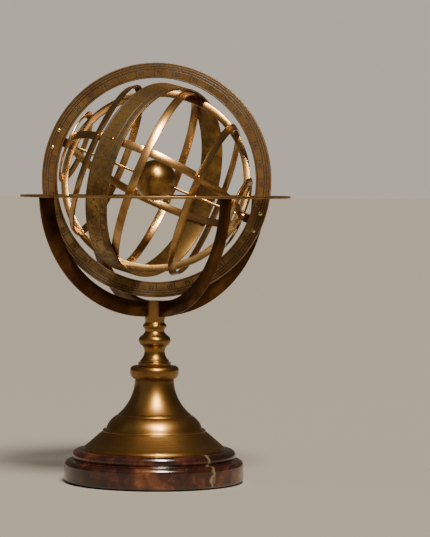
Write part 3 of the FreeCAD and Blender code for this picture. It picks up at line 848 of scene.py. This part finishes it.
# The twelve signs as strokes in a box from -1 to 1.
signs = [
    [[(0, -1), (0, 0.3)], arc(-0.45, 0.35, 0.45, 0, 200), arc(0.45, 0.35, 0.45, 180, -20)],
    [arc(0, -0.35, 0.5, 0, 360), arc(0, 0.8, 0.65, 190, 350)],
    [[(-0.35, -0.75), (-0.35, 0.75)], [(0.35, -0.75), (0.35, 0.75)], arc(0, 1.7, 1.1, 230, 310),
     arc(0, -1.7, 1.1, 50, 130)],
    [arc(-0.5, 0.3, 0.25, 0, 360), arc(0.5, -0.3, 0.25, 0, 360), arc(0, 0, 0.8, 30, 150),
     arc(0, 0, 0.8, 210, 330)],
    [arc(-0.5, -0.3, 0.25, 0, 360), arc(0, 0.3, 0.5, 210, -50), arc(0.6, -0.65, 0.28, 150, 340)],
    [[(-0.8, 0.7), (-0.8, -0.7)], arc(-0.6, 0.5, 0.2, 180, 0), [(-0.4, 0.5), (-0.4, -0.7)],
     arc(-0.2, 0.5, 0.2, 180, 0), [(0, 0.5), (0, -0.5), (0.7, -1)], arc(0.25, 0, 0.3, 130, -90)],
    [[(-0.9, -0.6), (0.9, -0.6)], [(-0.9, -0.2), (-0.35, -0.2)], arc(0, 0.15, 0.48, 225, -45),
     [(0.35, -0.2), (0.9, -0.2)]],
    [[(-0.8, 0.7), (-0.8, -0.7)], arc(-0.6, 0.5, 0.2, 180, 0), [(-0.4, 0.5), (-0.4, -0.7)],
     arc(-0.2, 0.5, 0.2, 180, 0), [(0, 0.5), (0, -0.7), (0.7, -0.7)],
     [(0.45, -0.45), (0.75, -0.7), (0.45, -0.95)]],
    [[(-0.8, -0.8), (0.8, 0.8)], [(0.1, 0.8), (0.8, 0.8), (0.8, 0.1)], [(-0.6, 0), (0, -0.6)]],
    [[(-0.8, 0.6), (-0.45, -0.5), (-0.1, 0.6)], [(-0.1, 0.6), (0.1, -0.5)], arc(0.4, -0.3, 0.3, 180, -150),
     arc(-0.15, -0.65, 0.3, 30, -80)],
    [[(-0.9, 0.1), (-0.45, 0.45), (-0.1, 0.1), (0.35, 0.45), (0.8, 0.1)],
     [(-0.9, -0.45), (-0.45, -0.1), (-0.1, -0.45), (0.35, -0.1), (0.8, -0.45)]],
    [arc(-1.1, 0, 0.85, -60, 60), arc(1.1, 0, 0.85, 120, 240), [(-0.7, 0), (0.7, 0)]],
]


# Bend strokes from the flat onto the band: x runs round it and y across it. They are pressed flat,
# and stand a hair above the metal.
def wrapOnBand(bm, radius, lift=0.25, proud=0.02):
    for vert in bm.verts:
        angle = vert.co.x / radius
        out = radius + proud + vert.co.z * lift
        vert.co = Vector((out * math.cos(angle), out * math.sin(angle), vert.co.y))
    bmesh.ops.recalc_face_normals(bm, faces=bm.faces)
    return bm


# The wide band, and its engraving: for each sign a glyph, a few joined stars, scrolls, degree marks
# and numbers.
def makeZodiac():
    z, c = zodiac, cage
    outside = c["seat"] + c["outerThick"]
    band = bandRing(c["seat"], 0, z["width"], c["outerThick"], (-z["border"], z["rowTop"], z["border"]))
    softenEdges(band, edgeRound, minimumAngle=60)
    shallow, deepest, rim = 0.02, 0.3, 0.6  # groove walls lie this far under the outside, off the rims
    for face in band.faces:
        middle = face.calc_center_median()
        under = outside - math.hypot(middle.x, middle.y)
        if shallow < under < deepest and abs(middle.z) < z["width"] / 2 - rim:
            face.material_index = 1
    wrapUv(band, c["seat"])
    place = cagePlace @ turnAbout("X", -c["tilt"])
    makePiece("zodiacBand", band, place, [zodiacBrass, darkFill], "cage", ["zodiac_band"])

    house = math.tau * outside / 12
    broad, fine, marks = [], [], bmesh.new()
    for index, sign in enumerate(signs):
        start = index * house
        broad.append([(start, -z["border"]), (start, z["border"])])
        centre = start + house * z["signAt"]
        broad += [[(centre + x * z["glyph"], z["figures"] + y * z["glyph"]) for x, y in stroke]
                  for stroke in sign]
        # a constellation of small stars joined by lines
        last = z["stars"] - 1
        stars = [(start + house * (z["starsFrom"] + z["starsSpan"] * step / last)
                  + random.uniform(-z["starDrift"], z["starDrift"]),
                  z["figures"] + random.uniform(-z["starRise"], z["starRise"]))
                 for step in range(z["stars"])]
        fine += [[first, second] for first, second in zip(stars, stars[1:])]
        for x, y in stars:
            size = random.uniform(*z["starSize"])
            broad += [[(x - size * math.cos(turn), y - size * math.sin(turn)),
                       (x + size * math.cos(turn), y + size * math.sin(turn))] for turn in z["starTurns"]]
        # scrolls either side of the sign
        for side in (-1, 1):
            for level in z["scrollLevels"]:
                fine.append(arc(centre + side * z["scrollAside"], z["figures"] + level,
                                random.uniform(*z["scrollRadius"]), random.uniform(*z["scrollStart"]),
                                random.uniform(*z["scrollEnd"])))
        # a mark for each degree, and a longer one and a number for every fifth
        for degree in range(1, 30):
            x = start + house * degree / 30
            if degree % 5:
                fine.append([(x, -z["width"] / 2 + z["tickGap"]), (x, -z["border"] - z["tickGap"])])
            else:
                fine.append([(x, -z["border"]), (x, -z["border"] + z["tick"])])
        for degree in range(5, 30, 5):
            addCopy(marks, numeral(str(degree), z["numberHeight"], deep=0.1, bold=0.12),
                    shift(start + house * degree / 30, z["row"], 0))
    addCopy(marks, strokes(broad, z["line"]))
    addCopy(marks, strokes(fine, z["fine"]))
    makePiece("zodiacEngraving", wrapOnBand(marks, outside), place, [darkFill], "cage")


earth = {"radius": 20.7, "bore": 1.5}
rod = {"radius": 1.5, "shoulder": 88.9, "pivot": 1, "end": 102.6, "chamfer": 0.3}
poleCollar = {"radius": 4, "bore": 1, "start": 96, "end": 98.4, "round": 0.8}


# The ball, the stepped polar rod through it, and a collar on each of its thin ends.
def makeEarth():
    e, r, p = earth, rod, poleCollar
    pole = math.sqrt(e["radius"] ** 2 - e["bore"] ** 2)
    ball = spinOutline([(e["bore"], -pole, e["radius"]), (e["bore"], pole)], steps=112, arcStep=3)
    makePiece("earthBall", ball, cagePlace, [ballBrass], "cage", ["earth_ball"])
    half = [(r["radius"], r["shoulder"] - r["chamfer"]), (r["radius"] - r["chamfer"], r["shoulder"]),
            (r["pivot"], r["shoulder"]), (r["pivot"], r["end"] - r["chamfer"]),
            (r["pivot"] - r["chamfer"], r["end"]), (0, r["end"])]
    shaft = spinOutline([(across, -up) for across, up in reversed(half)] + half, steps=40)
    wrapUv(shaft, r["radius"])
    makePiece("polarRod", shaft, northPlace, [stripBrass], "cage", ["polar_rod"])
    for label, node, place in (("North", "north", northPlace), ("South", "south", southPlace)):
        ring = spinOutline([
            (p["bore"], p["start"]),
            (p["radius"], p["start"]),
            (p["radius"], p["end"] - p["round"], p["round"]),
            (p["radius"] - p["round"], p["end"]),
            (p["bore"], p["end"]),
        ], steps=48)
        makePiece("poleCollar" + label, ring, place, [ballBrass], "cage", ["pole_collar_" + node])


pin = {"radius": 0.75, "root": 92, "head": 1.7, "dome": 0.7}


# Pins hold the small rings and the zodiac band on the great rings.
def makePins():
    c, p = cage, pin
    spots = [(azimuth, latitude) for latitude in (c["tropic"], -c["tropic"], c["polar"], -c["polar"])
             for azimuth in (0, 90, 180, 270)]
    spots += [(0, 0), (90, -c["tilt"]), (180, 0), (270, c["tilt"])]
    pins = bmesh.new()
    for azimuth, latitude in spots:
        root = c["inner"] if azimuth in (90, 270) else p["root"]
        place = turnAbout("Z", azimuth) @ turnAbout("Y", 90 - latitude)
        addPin(pins, p["radius"], p["head"], p["dome"], root, c["seat"] + c["outerThick"], place)
    makePiece("crossingPins", pins, cagePlace, [pinBrass], "cage", ["crossing_rivets"])


makeGreatRings()
makeSmallRings()
makeZodiac()
makeEarth()
makePins()
print("stage: cage made")

# angles are degrees, lens and sensor mm, distance and height metres
view = {"azimuth": 12.6, "distance": 2.63, "height": 0.307, "lens": 174.3, "sensor": 36,
        "right": 1.32, "down": 1.97, "roll": 0.4}
turnedTo = math.radians(view["azimuth"])
towardCamera = Vector((math.sin(turnedTo), -math.cos(turnedTo), 0))
right = Vector((math.cos(turnedTo), math.sin(turnedTo), 0))


paper = {"radius": 40, "segments": 96, "colour": "#D8D4CC"}


# Pale matt paper that runs far back, so that its edge lies at eye level.
def makeFloor():
    bm = bmesh.new()
    bmesh.ops.create_circle(bm, cap_ends=True, segments=paper["segments"], radius=paper["radius"])
    mesh = bpy.data.meshes.new("floor")
    bm.to_mesh(mesh)
    bm.free()
    material = newMaterial("palePaper", **{"Base Color": linear(paper["colour"]), "Roughness": 1,
                                           "Specular IOR Level": 0})[0]
    mesh.materials.append(material)
    floor = bpy.data.objects.new("floor", mesh)
    bpy.context.scene.collection.objects.link(floor)


# azimuth is counted to the right of the camera, and it and the height are degrees seen from the sphere
studio = {"keyAzimuth": 14, "keyHeight": 52, "keySize": 0.6, "keyLength": 1.5, "keyPower": 330,
          "keyColour": "#FFF1DC", "sunAngle": 18, "sunPower": 2.8,
          "fillAzimuth": -60, "fillHeight": 30, "fillSize": 3, "fillPower": 5, "fillColour": "#F0F0FF",
          "distance": 3, "wallColour": "#DCD3C4", "room": 0.11, "wall": 0.76}


def fromAngles(azimuth, height):
    side, up = math.radians(azimuth), math.radians(height)
    level = right * math.sin(side) + towardCamera * math.cos(side)
    return level * math.cos(up) + Vector((0, 0, math.sin(up)))


def makeLights():
    s = studio
    key = bpy.data.lights.new("keyLight", "AREA")
    key.shape = "RECTANGLE"
    key.size = s["keySize"]
    key.size_y = s["keyLength"]
    key.energy = s["keyPower"]
    key.color = linear(s["keyColour"])[:3]
    sun = bpy.data.lights.new("sunLight", "SUN")
    sun.angle = math.radians(s["sunAngle"])
    sun.energy = s["sunPower"]
    sun.color = linear(s["keyColour"])[:3]
    fill = bpy.data.lights.new("fillLight", "AREA")
    fill.size = s["fillSize"]
    fill.energy = s["fillPower"]
    fill.color = linear(s["fillColour"])[:3]
    for light, side in ((key, "key"), (sun, "key"), (fill, "fill")):
        direction = fromAngles(s[side + "Azimuth"], s[side + "Height"])
        lamp = bpy.data.objects.new(light.name, light)
        lamp.location = sphereCentre + direction * s["distance"]
        lamp.rotation_euler = (-direction).to_track_quat("-Z", "Y").to_euler()
        bpy.context.scene.collection.objects.link(lamp)
        # the sun lights the paper evenly, and the metal mirrors the tall softbox
        lamp.visible_diffuse = light != key
        lamp.visible_glossy = light != sun
    # the pale wall that the camera sees is brighter than the dim room that lights the metal
    world = bpy.data.worlds.new("studio")
    bpy.context.scene.world = world
    world.use_nodes = True
    tree = world.node_tree
    tree.nodes["Background"].inputs[0].default_value = linear(s["wallColour"])
    path = tree.nodes.new("ShaderNodeLightPath")
    level = tree.nodes.new("ShaderNodeMapRange")
    level.inputs["To Min"].default_value = s["room"]
    level.inputs["To Max"].default_value = s["wall"]
    tree.links.new(path.outputs["Is Camera Ray"], level.inputs["Value"])
    tree.links.new(level.outputs[0], tree.nodes["Background"].inputs[1])


def makeCamera():
    v = view
    camera = bpy.data.cameras.new("camera")
    camera.sensor_fit = "VERTICAL"
    camera.sensor_height = v["sensor"]
    camera.lens = v["lens"]
    rig = bpy.data.objects.new("camera", camera)
    rig.location = towardCamera * v["distance"] + Vector((0, 0, v["height"]))
    aside, drop = (math.tan(math.radians(v[angle])) for angle in ("right", "down"))
    aim = -towardCamera + right * aside - Vector((0, 0, drop))
    roll = Matrix.Rotation(math.radians(v["roll"]), 3, "Z").to_quaternion()
    rig.rotation_euler = (aim.to_track_quat("-Z", "Y") @ roll).to_euler()
    bpy.context.scene.collection.objects.link(rig)
    bpy.context.scene.camera = rig


makeFloor()
makeLights()
makeCamera()
print("stage: stage made")
